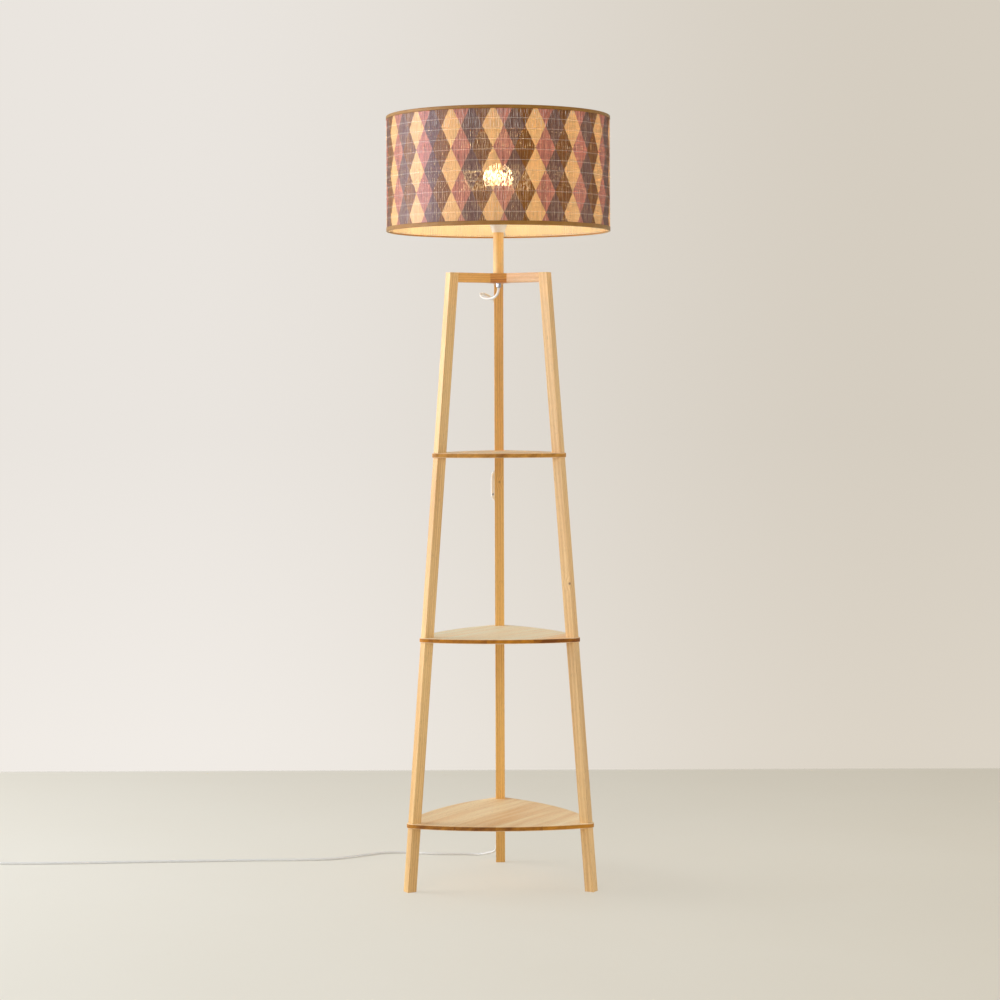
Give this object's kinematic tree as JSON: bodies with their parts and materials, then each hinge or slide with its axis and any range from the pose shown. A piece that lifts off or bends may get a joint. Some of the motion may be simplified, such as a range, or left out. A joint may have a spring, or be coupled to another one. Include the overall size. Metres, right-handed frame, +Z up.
{
  "type": "shelf floor lamp",
  "caption": "Floor lamp on three splayed square wooden legs that carry rounded triangular shelves, with a drum shade of upright straw slats on a short round post.",
  "frame": {"origin": "on the floor, on the axis of the post and the shade, under the middle of the shade", "axes": "+Z up, +Y towards the rear leg, +X to the right as seen from the front"},
  "size_m": [1.3749, 0.572, 1.535],
  "materials": {
    "leg_wood": "oiled solid wood, satin",
    "arm_wood": "oiled solid wood, satin",
    "hub_wood": "oiled laminated wood, satin",
    "post_wood": "oiled solid wood, satin",
    "shelf_wood": "oiled edge-glued wood, satin",
    "dowel_wood": "plain beech",
    "zinc_steel": "zinc plated",
    "brass": "plain",
    "bright_chrome": "bright plated",
    "holder_plastic": "smooth moulded",
    "ceramic": "glazed",
    "black_glass": "glossy",
    "bulb_plastic": "smooth",
    "bulb_diffuser": "frosted, lit",
    "circuit_board": "coated",
    "straw_weave": "upright straw slats, stitched, four tones in diamonds",
    "golden_tape": "woven binding tape",
    "white_wire": "powder coated",
    "cord_vinyl": "soft vinyl",
    "core_vinyl": "soft vinyl",
    "tie_plastic": "soft plastic strip",
    "switch_plastic": "moulded",
    "rocker_plastic": "moulded"
  },
  "bodies": {
    "lamp": {"arm_left": "arm_wood", "arm_rear": "arm_wood", "arm_right": "arm_wood", "bulb_board": "circuit_board", "bulb_cap": "bright_chrome", "bulb_contact": "bright_chrome", "bulb_globe": "bulb_diffuser", "bulb_housing": "bulb_plastic", "bulb_insulator": "black_glass", "coil_tie": "tie_plastic", "cord_coil": "cord_vinyl", "cord_cores": "core_vinyl", "cord_floor": "cord_vinyl", "cord_grip": "bright_chrome", "cord_inner": "cord_vinyl", "cord_upper": "cord_vinyl", "frame_dowels": "dowel_wood", "holder_base": "holder_plastic", "holder_centre_contact": "brass", "holder_insert": "ceramic", "holder_shell_contact": "brass", "holder_sleeve": "holder_plastic", "hub": "hub_wood", "leg_inserts": "brass", "leg_left_foot": "leg_wood", "leg_left_lower": "leg_wood", "leg_left_middle": "leg_wood", "leg_left_upper": "leg_wood", "leg_rear_foot": "leg_wood", "leg_rear_lower": "leg_wood", "leg_rear_middle": "leg_wood", "leg_rear_upper": "leg_wood", "leg_right_foot": "leg_wood", "leg_right_lower": "leg_wood", "leg_right_middle": "leg_wood", "leg_right_upper": "leg_wood", "leg_studs": "zinc_steel", "plug_body": "switch_plastic", "plug_pins": "bright_chrome", "post": "post_wood", "shade_ring_nut": "holder_plastic", "shade_skin": "straw_weave", "shade_spider": "white_wire", "shade_tapes": "golden_tape", "shade_wire_bottom": "white_wire", "shade_wire_top": "white_wire", "shelf_bottom": "shelf_wood", "shelf_middle": "shelf_wood", "shelf_top": "shelf_wood", "stem_nut": "zinc_steel", "stem_tube": "zinc_steel", "stem_washer": "zinc_steel", "switch_base": "switch_plastic", "switch_contacts": "brass", "switch_cover": "switch_plastic", "switch_pin": "zinc_steel", "switch_screws": "zinc_steel", "terminal_screws": "zinc_steel"},
    "rocker": {"switch_rocker": "rocker_plastic"}
  },
  "joints": [
    {"name": "rocker_press", "type": "hinge", "parent": "lamp", "child": "rocker", "pos_m": [-0.006, 0.1656, 0.78834], "axis": [1, 0, 0], "range_deg": [0, 18]}
  ]
}
